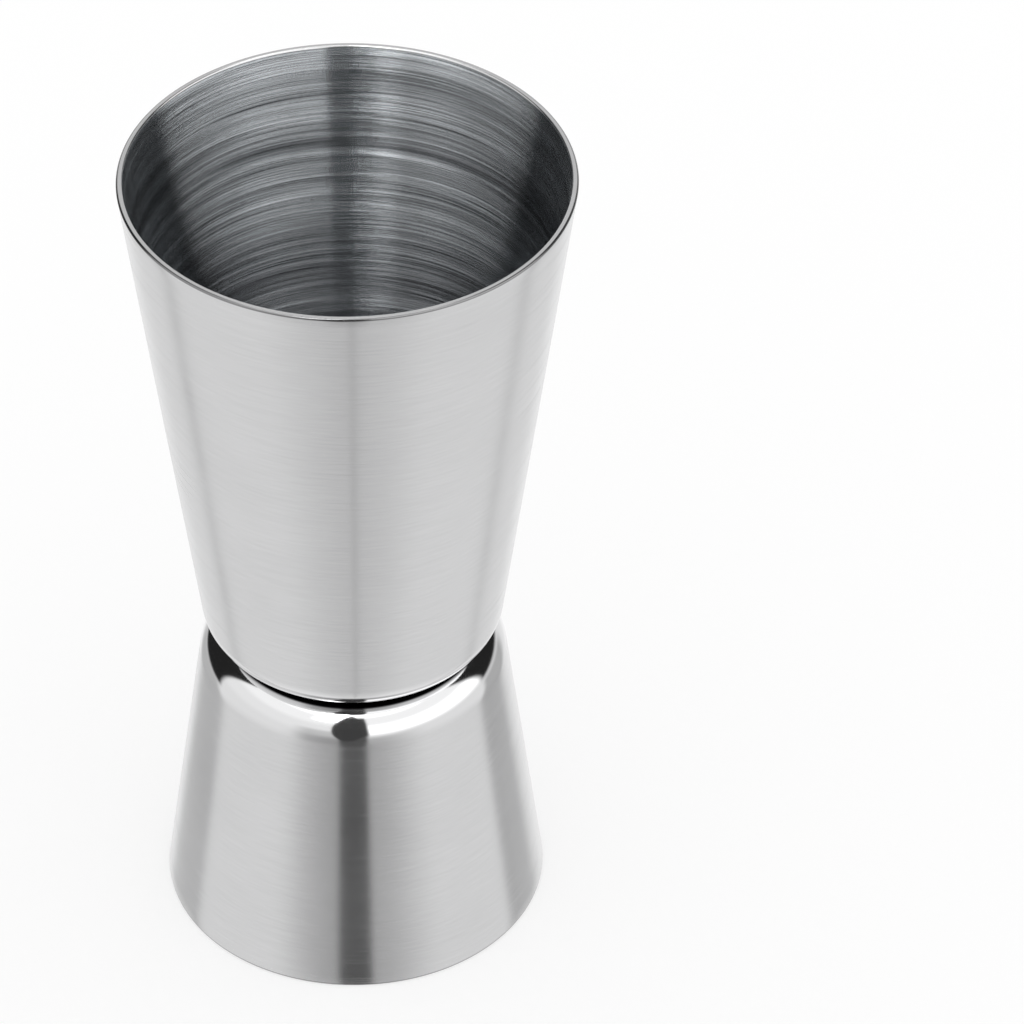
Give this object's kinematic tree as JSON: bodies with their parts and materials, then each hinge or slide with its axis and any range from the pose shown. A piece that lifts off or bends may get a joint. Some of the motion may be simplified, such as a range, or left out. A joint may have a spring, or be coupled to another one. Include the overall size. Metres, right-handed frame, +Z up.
{
  "type": "bar jigger",
  "caption": "Double-ended bar measure: a tall tapered steel cup, spot-welded bottom to bottom to a shorter inverted one, open at both ends.",
  "frame": {"origin": "centre of the small cup's rim, on the surface that the jigger stands on", "axes": "+Z up, along the common axis of both cups, from the small cup's rim to the large cup's rim; +X through one of the weld nuggets"},
  "size_m": [0.0426, 0.0426, 0.085],
  "materials": {
    "satin_steel": "satin, with turned rings inside the cups",
    "weld_steel": "as welded, dull"
  },
  "bodies": {
    "root": {"large_cup": "satin_steel", "small_cup": "satin_steel", "spot_welds": "weld_steel"}
  },
  "joints": []
}
